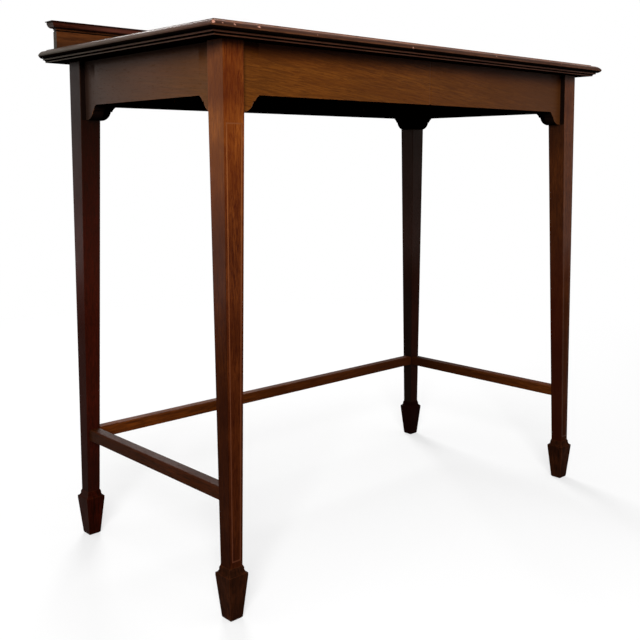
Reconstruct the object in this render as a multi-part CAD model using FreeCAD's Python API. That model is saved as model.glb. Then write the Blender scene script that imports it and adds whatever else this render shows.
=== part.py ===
# Writing table in mahogany: moulded top with a low gallery along the back edge,
# four plain aprons with cut brackets, tapered legs on spade feet, three stretchers.
# Millimetres. +X to the sitter's right, +Y to the back, +Z up.
# The origin is on the floor, under the middle of the top.
import FreeCAD
import Part
import math
import os

from FreeCAD import Vector

# Whole table
table_height = 762.0          # floor to writing surface
top_width = 858.0             # nose to nose
top_depth = 448.0             # front nose to the square back edge
side_overhang = 38.5          # nose beyond the outer faces of the legs
front_overhang = 31.0
back_overhang = 23.0          # back edge beyond the back legs

# Edge moulding of the top, from the writing surface down to the underside
top_thickness = 19.5
nose_reach = 13.7             # nose beyond the flat of the top
quirk_depth = 1.9
quirk_flat = 0.8
nose_drop = 8.6               # writing surface down to the furthest point of the nose
nose_height = 13.8            # writing surface down to the end of the round under the nose
upper_fillet_reach = 6.2
upper_fillet_height = 2.4
cove_height = 1.8
lower_fillet_reach = 2.2
ovolo_fullness_share = 0.155  # bulge of the long round, of its chord
nose_fullness_share = 0.19    # bulge of the round under the nose, of its chord
cove_hollow_share = 0.20      # depth of the hollow, of its chord

# Gallery
gallery_height = 42.0         # writing surface to the top of the cap
gallery_inset = 2.0           # back face in from the back edge of the top
gallery_end_inset = 24.8      # end of the board in from the nose of the top
board_thickness = 10.0
board_bead_height = 2.0       # flush bead along the board, right under the cap
board_quirk_height = 2.0      # sunk line that sets the bead off
board_quirk_depth = 1.2
cap_height = 10.0
cap_reach = 13.0              # cap beyond the front and the ends of the board
cap_edge_height = 1.2
cap_edge_step = 2.4
cap_fullness_share = 0.25     # bulge of the cap's round, of its chord
cap_foot_reach = 1.2          # small square fillet at the foot of the round
cap_foot_height = 0.6
cap_cover = 4.0               # how far the cap comes down over the board

# Legs, with upright outer faces and tapered inner ones
leg_square = 32.5
leg_ankle = 20.6              # square of the leg where the foot begins
leg_core_base = 15.0          # square of the leg inside the foot, at the floor

# Spade feet, of four mitred slips
foot_height = 71.5
foot_base = 19.4
foot_shoulder = 30.8
foot_shoulder_height = 58.0
foot_band = 3.8
foot_band_step = 0.9
foot_collar_top = 21.2        # splayed collar, square at its top and at its foot
foot_collar = 23.6
foot_collar_height = 3.0
foot_hollow_share = 0.16      # depth of the neck's hollow, of its chord

# Aprons
apron_depth = 65.5
apron_thickness = 19.0
apron_setback = 8.5           # outer face behind the faces of the legs
apron_tenon_thickness = 7.0
apron_tenon_shoulder = 8.0
tenon_gap = 0.5               # room at the end of a tenon

# Brackets under the aprons
bracket_length = 30.0
bracket_drop = 22.0
bracket_lip_share = 0.05      # small square edge at the apron, of the drop
bracket_step_drop_share = 0.37
bracket_step_start_share = 0.79
bracket_step_end_share = 0.71
bracket_tip_share = 0.22      # flat lower end, of the length
bracket_hollow_share = 0.09   # depth of the hollow, of its chord
bracket_round_share = 0.16    # bulge of the round, of its chord

# Stretchers
stretcher_section = 17.6
stretcher_height = 155.0      # floor to the underside of the stretchers
stretcher_reveal = 4.0        # outer face behind the outer faces of the legs
stretcher_tenon_thickness = 6.0
stretcher_tenon_length = 12.0
stretcher_tenon_shoulder = 3.5

# Stringing let into the front faces of the front legs
string_margin = 3.4
string_width = 1.7
string_depth = 1.0
string_top_gap = 14.0         # below the brackets
string_bottom_gap = 7.5       # above the feet

# Screws and glue blocks that hold the top and the gallery
screw_radius = 2.0
screw_head_radius = 4.0
screw_head_height = 2.4
screw_slot_width = 0.9
screw_slot_depth = 1.0
screw_tip_length = 4.0
screw_clearance = 0.3
pocket_tilt_degrees = 15.0
pocket_radius = 5.5
pocket_seat = 18.0            # along the screw, from the top edge of the apron
pocket_run = 44.0             # length of the pocket below the seat
top_bite = 12.0               # screw into the top
gallery_bite = 22.0           # screw into the gallery board
gallery_screw_share = 0.75    # outer screws, of the half length of the board
pocket_place_share = 0.62     # screws, of the half length of the long aprons
block_place_share = 0.30      # glue blocks, of the half length of the long aprons
block_length = 70.0
block_section = 18.0
block_chamfer = 8.0

# Levels and planes that follow from the sizes above
underside_z = table_height - top_thickness
apron_bottom_z = underside_z - apron_depth
taper_top_z = apron_bottom_z - bracket_drop
frame_half_x = top_width / 2 - side_overhang
frame_front_y = front_overhang - top_depth / 2
frame_back_y = top_depth / 2 - back_overhang
frame_centre_y = (frame_front_y + frame_back_y) / 2
frame_half_y = (frame_back_y - frame_front_y) / 2
long_apron_half = frame_half_x - leg_square
side_apron_half = frame_half_y - leg_square
stretcher_top_z = stretcher_height + stretcher_section
stretcher_line = stretcher_reveal + stretcher_section / 2
board_back_y = top_depth / 2 - gallery_inset
board_half = top_width / 2 - gallery_end_inset
flat_half = top_width / 2 - nose_reach
flat_front_y = nose_reach - top_depth / 2


def box(x0, x1, y0, y1, z0, z1):
    """Upright box between two opposite corners."""
    return Part.makeBox(x1 - x0, y1 - y0, z1 - z0, Vector(x0, y0, z0))


def prism(points, extent):
    """Solid swept from a closed polygon along the vector extent."""
    wire = Part.makePolygon(points + points[:1])
    return Part.Face(wire).extrude(extent)


def mirror_x(shape):
    """The same piece on the other side of the middle plane, left for right."""
    return shape.mirror(Vector(0, 0, 0), Vector(1, 0, 0))


def mirror_y(shape):
    """The same piece across the frame, front for back."""
    return shape.mirror(Vector(0, frame_centre_y, 0), Vector(0, 1, 0))


def join(first, *others):
    """One solid from pieces of the same board."""
    return first.fuse(list(others)).removeSplitter()


def bulge(start, end, share):
    """Arc from start to end, standing to the left of its chord by a share of it."""
    chord = end - start
    side = Vector(-chord.z, 0, chord.x) if chord.y == 0 else Vector(0, -chord.z, chord.y)
    middle = (start + end) / 2 + side * share
    return Part.Arc(start, middle, end).toShape()


def line(start, end):
    """Straight edge."""
    return Part.LineSegment(start, end).toShape()


def leg_width_at(z):
    """Square of the leg at a height between the foot and the brackets."""
    rise = (z - foot_height) / (taper_top_z - foot_height)
    return leg_ankle + (leg_square - leg_ankle) * rise


# The legs are drawn at the front left corner, and mirrored to the other three.
# There u runs inward from the outer left face and v inward from the front face.
def corner(u, v, z):
    """Point at the front left corner of the frame."""
    return Vector(u - frame_half_x, v + frame_front_y, z)


def leg_blank():
    """Tapered leg with its core inside the foot, before any joint is cut."""
    core_inset = (leg_ankle - leg_core_base) / 2
    outline = [(core_inset, 0), (0, foot_height), (0, underside_z), (leg_square, underside_z),
               (leg_square, taper_top_z), (leg_ankle, foot_height), (leg_ankle - core_inset, 0)]
    across = prism([corner(u, 0, z) for u, z in outline], Vector(0, leg_square, 0))
    along = prism([corner(0, v, z) for v, z in outline], Vector(leg_square, 0, 0))
    return across.common(along)


def apron_tenon(end_gap, side):
    """Apron tenon, mitred against the other apron's tenon inside the leg."""
    middle = apron_setback + apron_thickness / 2
    near = middle - apron_tenon_thickness / 2
    far = middle + apron_tenon_thickness / 2
    plan = [(leg_square, near), (leg_square, far), (far + end_gap, far), (near + end_gap, near)]
    if side:
        plan = [(v, u) for u, v in plan]
    z0 = apron_bottom_z + apron_tenon_shoulder
    height = apron_depth - 2 * apron_tenon_shoulder
    return prism([corner(u, v, z0) for u, v in plan], Vector(0, 0, height))


def side_stretcher_tenon(end_gap):
    """Tenon of a side stretcher, entering the leg from inside the frame."""
    tip = leg_width_at(stretcher_height) - stretcher_tenon_length - end_gap
    low = corner(stretcher_line - stretcher_tenon_thickness / 2, tip,
                 stretcher_height + stretcher_tenon_shoulder)
    return Part.makeBox(stretcher_tenon_thickness, leg_square - tip,
                        stretcher_section - 2 * stretcher_tenon_shoulder, low)


def back_stretcher_tenon(end_gap):
    """Tenon of the back stretcher, cut short against the side stretcher's tenon."""
    tip = stretcher_line + stretcher_tenon_thickness / 2 + end_gap
    low = corner(tip, stretcher_line - stretcher_tenon_thickness / 2,
                 stretcher_height + stretcher_tenon_shoulder)
    return Part.makeBox(leg_square - tip, stretcher_tenon_thickness,
                        stretcher_section - 2 * stretcher_tenon_shoulder, low)


def stringing():
    """Four mitred strips, let in flush with the front face of the front left leg."""
    bottom = foot_height + string_bottom_gap
    top = taper_top_z - string_top_gap

    def ring(inset):
        """Corners of the lines at a distance inside the outer line."""
        margin = string_margin + inset
        low = bottom + inset
        high = top - inset
        return [corner(margin, 0, low), corner(leg_width_at(low) - margin, 0, low),
                corner(leg_width_at(high) - margin, 0, high), corner(margin, 0, high)]

    outer = ring(0)
    inner = ring(string_width)
    strips = {}
    for place, name in enumerate(("lower", "inner", "upper", "outer")):
        nearby = (place + 1) % len(outer)
        quad = [outer[place], outer[nearby], inner[nearby], inner[place]]
        strips[name] = prism(quad, Vector(0, string_depth, 0))
    return strips


def front_leg():
    """Front left leg: mortises for two aprons and a stretcher, grooves for the stringing."""
    cuts = [apron_tenon(0, False), apron_tenon(0, True), side_stretcher_tenon(tenon_gap)]
    return leg_blank().cut(cuts + list(stringing().values()))


def back_leg():
    """Back left leg, drawn at the front: mortises for two aprons and two stretchers."""
    cuts = [apron_tenon(0, False), apron_tenon(0, True),
            side_stretcher_tenon(tenon_gap), back_stretcher_tenon(0)]
    return leg_blank().cut(cuts)


def foot_outline(centre):
    """Closed section of a foot slip in the plane through the centre of the foot."""
    def at(reach, z):
        return centre + Vector(0, -reach, z)

    base = at(foot_base / 2, 0)
    shoulder = at(foot_shoulder / 2, foot_shoulder_height)
    band_z = foot_shoulder_height + foot_band
    band = at(foot_shoulder / 2, band_z)
    hollow_low = at(foot_shoulder / 2 - foot_band_step, band_z)
    collar_z = foot_height - foot_collar_height
    collar = at(foot_collar / 2, collar_z)
    crown = at(foot_collar_top / 2, foot_height)
    edges = [line(at(0, 0), base), line(base, shoulder), line(shoulder, band), line(band, hollow_low),
             bulge(hollow_low, collar, -foot_hollow_share), line(collar, crown),
             line(crown, at(0, foot_height)), line(at(0, foot_height), at(0, 0))]
    return Part.Face(Part.Wire(edges))


def foot_slip(centre, turn, leg):
    """One of the four slips round the core of a leg, mitred at both ends."""
    reach = foot_shoulder
    long_slip = foot_outline(centre - Vector(reach, 0, 0)).extrude(Vector(2 * reach, 0, 0))
    wedge = prism([centre, centre + Vector(-reach, -reach, 0), centre + Vector(reach, -reach, 0)],
                  Vector(0, 0, foot_height))
    slip = long_slip.common(wedge)
    slip.rotate(centre, Vector(0, 0, 1), turn)
    return slip.cut(leg)


def foot(leg, x_sign, y_sign):
    """The four slips of the foot under one leg, named by the way they face."""
    centre = Vector(x_sign * (frame_half_x - leg_ankle / 2),
                    frame_centre_y + y_sign * (frame_half_y - leg_ankle / 2), 0)
    turns = {"front": 0, "right": 90, "back": 180, "left": 270}
    return {facing: foot_slip(centre, turn, leg) for facing, turn in turns.items()}


def pocket_screw_axis(edge, inward):
    """Seat of a slanted screw and its upward direction, from the apron's top edge."""
    tilt = math.radians(pocket_tilt_degrees)
    upward = Vector(0, 0, 1) * math.cos(tilt) - inward * math.sin(tilt)
    return edge - upward * pocket_seat, upward


def screw(seat, upward, length):
    """Slotted wood screw: a flat head under its seat, a plain shank and a point."""
    head = Part.makeCylinder(screw_head_radius, screw_head_height,
                             seat - upward * screw_head_height, upward)
    shank = Part.makeCylinder(screw_radius, length - screw_tip_length, seat, upward)
    tip = Part.makeCone(screw_radius, 0, screw_tip_length,
                        seat + upward * (length - screw_tip_length), upward)
    slot = Part.makeBox(2 * screw_head_radius, screw_slot_width, screw_slot_depth)
    slot.translate(Vector(-screw_head_radius, -screw_slot_width / 2, 0))
    slot.Placement = FreeCAD.Placement(seat - upward * screw_head_height,
                                       FreeCAD.Rotation(Vector(0, 0, 1), upward)
                                       ).multiply(slot.Placement)
    return join(head, shank, tip).cut(slot)


def screw_hole(seat, upward, length):
    """Clearance for the shank and point of a screw."""
    return Part.makeCylinder(screw_radius + screw_clearance, length + screw_clearance, seat, upward)


def pocket(seat, upward):
    """Round pocket that the head of a slanted screw sits in, run out below."""
    return Part.makeCylinder(pocket_radius, pocket_run, seat - upward * pocket_run, upward)


def top_screw_places():
    """Point on the top edge of an apron and the inward direction, for each slanted screw."""
    middle = apron_setback + apron_thickness / 2
    across = long_apron_half * pocket_place_share
    front = frame_front_y + middle
    back = frame_back_y - middle
    side = frame_half_x - middle
    return {"front_left": (Vector(-across, front, underside_z), Vector(0, 1, 0)),
            "front_right": (Vector(across, front, underside_z), Vector(0, 1, 0)),
            "back_left": (Vector(-across, back, underside_z), Vector(0, -1, 0)),
            "back_right": (Vector(across, back, underside_z), Vector(0, -1, 0)),
            "left": (Vector(-side, frame_centre_y, underside_z), Vector(1, 0, 0)),
            "right": (Vector(side, frame_centre_y, underside_z), Vector(-1, 0, 0))}


def cut_pockets(apron, names):
    """Pockets and clearance holes for the slanted screws of one apron."""
    for name in names:
        seat, upward = pocket_screw_axis(*top_screw_places()[name])
        apron = apron.cut(pocket(seat, upward))
        apron = apron.cut(screw_hole(seat, upward, pocket_seat + top_bite))
    return apron


def front_apron():
    """Front apron with a tenon at each end."""
    outer_y = frame_front_y + apron_setback
    board = box(-long_apron_half, long_apron_half, outer_y, outer_y + apron_thickness,
                apron_bottom_z, underside_z)
    tenon = apron_tenon(tenon_gap, False)
    return cut_pockets(join(board, tenon, mirror_x(tenon)), ["front_left", "front_right"])


def left_apron():
    """Left apron with a tenon at each end."""
    outer_x = apron_setback - frame_half_x
    board = box(outer_x, outer_x + apron_thickness, frame_centre_y - side_apron_half,
                frame_centre_y + side_apron_half, apron_bottom_z, underside_z)
    tenon = apron_tenon(tenon_gap, True)
    return cut_pockets(join(board, tenon, mirror_y(tenon)), ["left"])


def bracket(origin, along, through):
    """Bracket in the angle of a leg and an apron: hollow, step, then a round."""
    def at(length_share, drop_share):
        return origin + along * (bracket_length * length_share) - Vector(0, 0, bracket_drop * drop_share)

    root = at(0, 0)
    end = at(1, 0)
    lip = at(1, bracket_lip_share)
    step = at(bracket_step_start_share, bracket_step_drop_share)
    step_end = at(bracket_step_end_share, bracket_step_drop_share)
    tip = at(bracket_tip_share, 1)
    foot_point = at(0, 1)
    sense = along.x + along.y
    edges = [line(root, end), line(end, lip), bulge(lip, step, -sense * bracket_hollow_share),
             line(step, step_end), bulge(step_end, tip, sense * bracket_round_share),
             line(tip, foot_point), line(foot_point, root)]
    return Part.Face(Part.Wire(edges)).extrude(through)


def front_bracket():
    """Bracket under the front apron, against the left leg."""
    return bracket(corner(leg_square, apron_setback, apron_bottom_z), Vector(1, 0, 0),
                   Vector(0, apron_thickness, 0))


def side_bracket():
    """Bracket under the left apron, against the front leg."""
    return bracket(corner(apron_setback, leg_square, apron_bottom_z), Vector(0, 1, 0),
                   Vector(apron_thickness, 0, 0))


def left_stretcher(legs):
    """Left stretcher, its shoulders cut to the tapered faces of the legs."""
    start = corner(stretcher_reveal, leg_ankle / 2, stretcher_height)
    bar = Part.makeBox(stretcher_section, 2 * frame_half_y - leg_ankle, stretcher_section, start)
    tenon = side_stretcher_tenon(0)
    return join(bar.cut(legs), tenon, mirror_y(tenon))


def back_stretcher(legs):
    """Back stretcher between the back legs."""
    start = Vector(leg_ankle / 2 - frame_half_x, frame_back_y - stretcher_reveal - stretcher_section,
                   stretcher_height)
    bar = Part.makeBox(2 * frame_half_x - leg_ankle, stretcher_section, stretcher_section, start)
    tenon = mirror_y(back_stretcher_tenon(tenon_gap))
    return join(bar.cut(legs), tenon, mirror_x(tenon))


def edge_moulding(point):
    """Edges of the top's moulding, from the flat down to the underside.

    point turns a reach beyond the flat and a drop below the writing surface into a place.
    """
    outward = point(1, 0) - point(0, 0)
    sense = outward.x + outward.y
    fillet_top = nose_height
    cove_top = fillet_top + upper_fillet_height
    cove_foot = cove_top + cove_height
    corners = {"flat": point(0, 0), "quirk": point(0, quirk_depth), "round": point(quirk_flat, quirk_depth),
               "nose": point(nose_reach, nose_drop), "under": point(upper_fillet_reach, fillet_top),
               "cove": point(upper_fillet_reach, cove_top), "cove_foot": point(lower_fillet_reach, cove_foot),
               "foot": point(lower_fillet_reach, top_thickness)}
    return [line(corners["flat"], corners["quirk"]), line(corners["quirk"], corners["round"]),
            bulge(corners["round"], corners["nose"], sense * ovolo_fullness_share),
            bulge(corners["nose"], corners["under"], sense * nose_fullness_share),
            line(corners["under"], corners["cove"]),
            bulge(corners["cove"], corners["cove_foot"], -sense * cove_hollow_share),
            line(corners["cove_foot"], corners["foot"])]


def gallery_screw_seats():
    """Seats of the upright screws that hold the gallery board, under the top."""
    y = board_back_y - board_thickness / 2
    reach = board_half * gallery_screw_share
    return {"left": Vector(-reach, y, underside_z + screw_head_height),
            "middle": Vector(0, y, underside_z + screw_head_height),
            "right": Vector(reach, y, underside_z + screw_head_height)}


def gallery_screw_length():
    """Length of a gallery screw under its head."""
    return top_thickness - screw_head_height + gallery_bite


def table_top():
    """Top with the moulding on the front and both ends, square at the back."""
    back_y = top_depth / 2
    front_edges = edge_moulding(lambda reach, drop: Vector(-top_width, flat_front_y - reach,
                                                           table_height - drop))
    low_back = Vector(-top_width, back_y, underside_z)
    high_back = Vector(-top_width, back_y, table_height)
    long_face = Part.Face(Part.Wire(front_edges + [line(front_edges[-1].Vertexes[-1].Point, low_back),
                                                   line(low_back, high_back),
                                                   line(high_back, front_edges[0].Vertexes[0].Point)]))
    across = long_face.extrude(Vector(2 * top_width, 0, 0))
    left_edges = edge_moulding(lambda reach, drop: Vector(-flat_half - reach, -top_depth,
                                                          table_height - drop))
    right_edges = edge_moulding(lambda reach, drop: Vector(flat_half + reach, -top_depth,
                                                           table_height - drop))
    bottom = line(left_edges[-1].Vertexes[-1].Point, right_edges[-1].Vertexes[-1].Point)
    surface = line(left_edges[0].Vertexes[0].Point, right_edges[0].Vertexes[0].Point)
    side_face = Part.Face(Part.Wire(Part.__sortEdges__(left_edges + right_edges + [bottom, surface])))
    along = side_face.extrude(Vector(0, 2 * top_depth, 0))
    top = across.common(along)
    for edge, inward in top_screw_places().values():
        seat, upward = pocket_screw_axis(edge, inward)
        top = top.cut(screw_hole(seat, upward, pocket_seat + top_bite))
    for seat in gallery_screw_seats().values():
        sunk = Part.makeCylinder(screw_head_radius + screw_clearance, screw_head_height,
                                 seat - Vector(0, 0, screw_head_height))
        top = top.cut([sunk, screw_hole(seat, Vector(0, 0, 1), gallery_screw_length())])
    return top


def gallery_board():
    """Upright board of the gallery, its top edge inside the cap, with a flush bead under it."""
    front_y = board_back_y - board_thickness
    cap_foot_z = table_height + gallery_height - cap_height
    quirk_top_z = cap_foot_z - board_bead_height
    quirk_foot_z = quirk_top_z - board_quirk_height
    board = box(-board_half, board_half, front_y, board_back_y, table_height, cap_foot_z + cap_cover)
    band = box(-board_half, board_half, front_y, board_back_y, quirk_foot_z, quirk_top_z)
    core = box(board_quirk_depth - board_half, board_half - board_quirk_depth,
               front_y + board_quirk_depth, board_back_y, quirk_foot_z, quirk_top_z)
    board = board.cut(band.cut(core))
    for seat in gallery_screw_seats().values():
        board = board.cut(screw_hole(seat, Vector(0, 0, 1), gallery_screw_length()))
    return board


def cap_moulding(point):
    """Edges of the cap's moulding, from its thin top edge down to its foot on the board."""
    outward = point(1, 0) - point(0, 0)
    sense = outward.x + outward.y
    fillet_drop = cap_height - cap_foot_height
    upper = point(cap_reach, 0)
    edge = point(cap_reach, cap_edge_height)
    step = point(cap_reach - cap_edge_step, cap_edge_height)
    round_foot = point(cap_foot_reach + cap_foot_height, fillet_drop)
    fillet = point(cap_foot_reach, fillet_drop)
    foot_of_cap = point(cap_foot_reach, cap_height)
    return [line(upper, edge), line(edge, step), bulge(step, round_foot, sense * cap_fullness_share),
            line(round_foot, fillet), line(fillet, foot_of_cap)]


def gallery_cap():
    """Cap rail, moulded at the front and both ends and rebated over the board."""
    cap_z = table_height + gallery_height
    front_y = board_back_y - board_thickness
    front = cap_moulding(lambda reach, drop: Vector(-top_width, front_y - reach, cap_z - drop))
    low_back = Vector(-top_width, board_back_y, cap_z - cap_height)
    high_back = Vector(-top_width, board_back_y, cap_z)
    long_face = Part.Face(Part.Wire(front + [line(front[-1].Vertexes[-1].Point, low_back),
                                             line(low_back, high_back),
                                             line(high_back, front[0].Vertexes[0].Point)]))
    across = long_face.extrude(Vector(2 * top_width, 0, 0))
    left = cap_moulding(lambda reach, drop: Vector(-board_half - reach, 0, cap_z - drop))
    right = cap_moulding(lambda reach, drop: Vector(board_half + reach, 0, cap_z - drop))
    bottom = line(left[-1].Vertexes[-1].Point, right[-1].Vertexes[-1].Point)
    upper = line(left[0].Vertexes[0].Point, right[0].Vertexes[0].Point)
    side_face = Part.Face(Part.Wire(Part.__sortEdges__(left + right + [bottom, upper])))
    along = side_face.extrude(Vector(0, top_depth, 0))
    return across.common(along).cut(gallery_board())


def glue_block():
    """Chamfered block rubbed into the angle of the front apron and the top, on the left."""
    middle = -long_apron_half * block_place_share
    inner_y = frame_front_y + apron_setback + apron_thickness
    section = [(0, 0), (block_section, 0), (block_section, block_section - block_chamfer),
               (block_section - block_chamfer, block_section), (0, block_section)]
    points = [Vector(middle - block_length / 2, inner_y + y, underside_z - drop) for y, drop in section]
    return prism(points, Vector(block_length, 0, 0))


def all_pieces():
    """Every piece of the table by name."""
    pieces = {"top": table_top(), "gallery_board": gallery_board(), "gallery_cap": gallery_cap()}
    apron = front_apron()
    pieces["apron_front"] = apron
    pieces["apron_back"] = mirror_y(apron)
    apron = left_apron()
    pieces["apron_left"] = apron
    pieces["apron_right"] = mirror_x(apron)

    ear = front_bracket()
    pieces["bracket_front_left"] = ear
    pieces["bracket_front_right"] = mirror_x(ear)
    pieces["bracket_back_left"] = mirror_y(ear)
    pieces["bracket_back_right"] = mirror_x(mirror_y(ear))
    ear = side_bracket()
    pieces["bracket_left_front"] = ear
    pieces["bracket_left_back"] = mirror_y(ear)
    pieces["bracket_right_front"] = mirror_x(ear)
    pieces["bracket_right_back"] = mirror_x(mirror_y(ear))

    leg = front_leg()
    pieces["leg_front_left"] = leg
    pieces["leg_front_right"] = mirror_x(leg)
    leg = mirror_y(back_leg())
    pieces["leg_back_left"] = leg
    pieces["leg_back_right"] = mirror_x(leg)
    for name, strip in stringing().items():
        pieces["stringing_left_" + name] = strip
        pieces["stringing_right_" + name] = mirror_x(strip)

    blank = leg_blank()
    blanks = {"front_left": (blank, -1, -1), "front_right": (mirror_x(blank), 1, -1),
              "back_left": (mirror_y(blank), -1, 1), "back_right": (mirror_x(mirror_y(blank)), 1, 1)}
    for place, (leg, x_sign, y_sign) in blanks.items():
        for facing, slip in foot(leg, x_sign, y_sign).items():
            pieces["foot_" + place + "_slip_" + facing] = slip

    bar = left_stretcher([blanks["front_left"][0], blanks["back_left"][0]])
    pieces["stretcher_left"] = bar
    pieces["stretcher_right"] = mirror_x(bar)
    pieces["stretcher_back"] = back_stretcher([blanks["back_left"][0], blanks["back_right"][0]])

    for name, (edge, inward) in top_screw_places().items():
        seat, upward = pocket_screw_axis(edge, inward)
        pieces["top_screw_" + name] = screw(seat, upward, pocket_seat + top_bite)
    for name, seat in gallery_screw_seats().items():
        pieces["gallery_screw_" + name] = screw(seat, Vector(0, 0, 1), gallery_screw_length())
    block = glue_block()
    pieces["glue_block_front_left"] = block
    pieces["glue_block_front_right"] = mirror_x(block)
    pieces["glue_block_back_left"] = mirror_y(block)
    pieces["glue_block_back_right"] = mirror_x(mirror_y(block))
    return pieces


def main():
    """Write one file for each piece."""
    os.makedirs("parts", exist_ok=True)
    for name, shape in all_pieces().items():
        solids = shape.Solids
        if len(solids) != 1 or not shape.isValid():
            raise ValueError(name + " is not one sound solid")
        solids[0].exportStep(os.path.join("parts", name + ".step"))
        size = shape.BoundBox
        print(f"{name}: {size.XLength:.1f} x {size.YLength:.1f} x {size.ZLength:.1f} mm")


main()
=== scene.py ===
"""Writing table in polished mahogany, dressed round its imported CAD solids.

The table is seen from its front left corner, from a little below the writing
surface. Lengths in the size fields are millimetres, Blender's own are metres.
"""
import logging
import math
from collections.abc import Callable, Sequence
from dataclasses import dataclass, replace
from enum import Enum
from functools import cache
from typing import Any

import bmesh
import bpy
from bmesh.types import BMesh, BMFace, BMVert
from bpy.types import Material, Node, NodeSocket, NodeTree
from mathutils import Matrix, Vector, noise


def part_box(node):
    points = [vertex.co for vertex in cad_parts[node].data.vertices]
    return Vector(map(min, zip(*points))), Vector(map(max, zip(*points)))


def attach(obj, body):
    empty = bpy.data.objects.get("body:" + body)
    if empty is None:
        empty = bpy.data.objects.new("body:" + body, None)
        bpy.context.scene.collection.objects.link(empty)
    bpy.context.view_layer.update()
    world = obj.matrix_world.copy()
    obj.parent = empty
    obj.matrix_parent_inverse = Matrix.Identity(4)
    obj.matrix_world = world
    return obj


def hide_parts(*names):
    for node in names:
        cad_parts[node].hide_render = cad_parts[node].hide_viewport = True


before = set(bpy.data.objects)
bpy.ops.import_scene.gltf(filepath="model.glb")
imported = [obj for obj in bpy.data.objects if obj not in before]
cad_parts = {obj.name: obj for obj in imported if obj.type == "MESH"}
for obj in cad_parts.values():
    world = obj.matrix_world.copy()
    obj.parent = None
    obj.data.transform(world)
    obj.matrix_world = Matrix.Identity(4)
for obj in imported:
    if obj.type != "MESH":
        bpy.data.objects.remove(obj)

MM = 0.001
BODY = "root"
NEAR = 0.1  # mm: a point this near to a level is taken to be at it
log = logging.getLogger("writing_table")

Place = tuple[float, float, float]
Span = tuple[float, float]  # where something sets in, and where it is complete
Tones = tuple[tuple[float, float], ...]  # painted shade: heights, each with its share of full colour


def linear(code: str) -> tuple[float, float, float, float]:
    """Turn an sRGB hex colour into the linear one that shaders take.

    Args:
        code: Six hex digits, such as "7a3d1c".

    Returns:
        Red, green, blue and an alpha of 1.
    """
    shares = [int(code[place:place + 2], 16) / 255 for place in (0, 2, 4)]
    # The sRGB curve is straight near black, and a power above that
    red, green, blue = (share / 12.92 if share <= 0.04045 else ((share + 0.055) / 1.055) ** 2.4
                        for share in shares)
    return red, green, blue, 1.0


def put(tree: NodeTree, kind: str, links: dict[Any, Any] | Sequence[Any] = (),
        **settings: Any) -> Node:
    """Add a node with its settings, values and links.

    Args:
        tree: Node tree that takes the node.
        kind: Blender's name of the node type, without ShaderNode.
        links: Value, output socket or node for each input, in their order, or by name or number.
            A node stands for the first output that it has in use.
        settings: Attributes of the node itself.

    Returns:
        The new node.
    """
    node = tree.nodes.new(f"ShaderNode{kind}")
    for name, value in settings.items():
        setattr(node, name, value)
    for name, value in links.items() if isinstance(links, dict) else enumerate(links):
        if isinstance(value, Node):
            value = next(socket for socket in value.outputs if socket.enabled)
        if isinstance(value, NodeSocket):
            tree.links.new(value, node.inputs[name])
        else:
            node.inputs[name].default_value = value
    return node


def lay(tree: NodeTree, ground: Any, coats: Sequence[tuple[Any, str]]) -> Any:
    """Lay coats of colour over each other.

    Args:
        tree: Node tree of the material.
        ground: Colour, or node of a colour, under the first coat.
        coats: How much each coat covers what is under it, and its sRGB hex colour.

    Returns:
        The node of the last coat.
    """
    for share, code in coats:
        ground = put(tree, "Mix", {0: share, 6: ground, 7: linear(code)}, data_type="RGBA")
    return ground


def painted_shade_by_height(tree: NodeTree, tones: Tones, height: NodeSocket, colour: Node) -> Node:
    """A colour with painted shade, darkened and reddened by its height above the floor.

    Args:
        tree: Node tree of the material.
        tones: Painted shade, as heights in millimetres, each with its share of full colour.
        height: Height of the point in metres.
        colour: Node of the full colour.

    Returns:
        The node of the colour with its painted shade.
    """
    shade = put(tree, "ValToRGB", (height,))
    stops = shade.color_ramp.elements
    for number, (level, share) in enumerate(tones):
        stop = stops[number] if number < 2 else stops.new(1.0)  # a new ramp has two stops
        stop.position = level * MM
        green = share * (1 - REDDENING + REDDENING * share)
        stop.color = (share, green, share, 1.0)
    return put(tree, "Mix", {0: 1.0, 6: colour, 7: shade}, data_type="RGBA", blend_type="MULTIPLY")


class Grain(Enum):
    """Way that the grain of a piece runs, as the number of the axis."""

    ACROSS_TABLE = 0
    FRONT_TO_BACK = 1
    UPRIGHT = 2

    def stretch(self, across: float, along: float) -> Place:
        """Pattern scale per metre for marks of a width and a length in millimetres."""
        sizes = [along if axis == self.value else across for axis in range(3)]
        return tuple(1 / (size * MM) for size in sizes)

    def turn(self, slope: float) -> Place:
        """Angles in radians for grain that falls so many degrees to the right or the back."""
        angle = math.radians(slope)
        return (angle, 0.0, 0.0) if self is Grain.FRONT_TO_BACK else (0.0, -angle, 0.0)


@dataclass(frozen=True)
class Marks:
    """Marks in the wood or its polish, as noise that is drawn out along the grain."""

    across: float  # width of a mark
    along: float  # its length
    detail: float  # finer octaves in it
    roughness: float = 0.55  # how strong they are
    wander: float = 0.0  # how far the marks stray

    def draw(self, tree: NodeTree, grain: Grain, place: Node) -> Node:
        """Draw the marks at their real size.

        Args:
            tree: Node tree of the material.
            grain: Way that the grain runs.
            place: Position, turned by the grain's slope.

        Returns:
            The node of the noise.
        """
        scale = grain.stretch(self.across, self.along)
        spread = put(tree, "Mapping", {"Vector": place, "Scale": scale})
        return put(tree, "TexNoise", {
            "Vector": spread, "Scale": 1.0, "Detail": self.detail, "Roughness": self.roughness,
            "Distortion": self.wander})


@dataclass(frozen=True)
class Veil:
    """A slow change of colour along one axis: most paint shade where the light falls off, a few
    paint sheen.
    """

    colour: str
    axis: str  # X, Y or Z
    start: float  # where it sets in, in millimetres
    end: float  # where it is strongest
    share: float = 1.0  # how strong it gets
    left_only: bool = False  # on faces that look left, and no others


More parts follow.
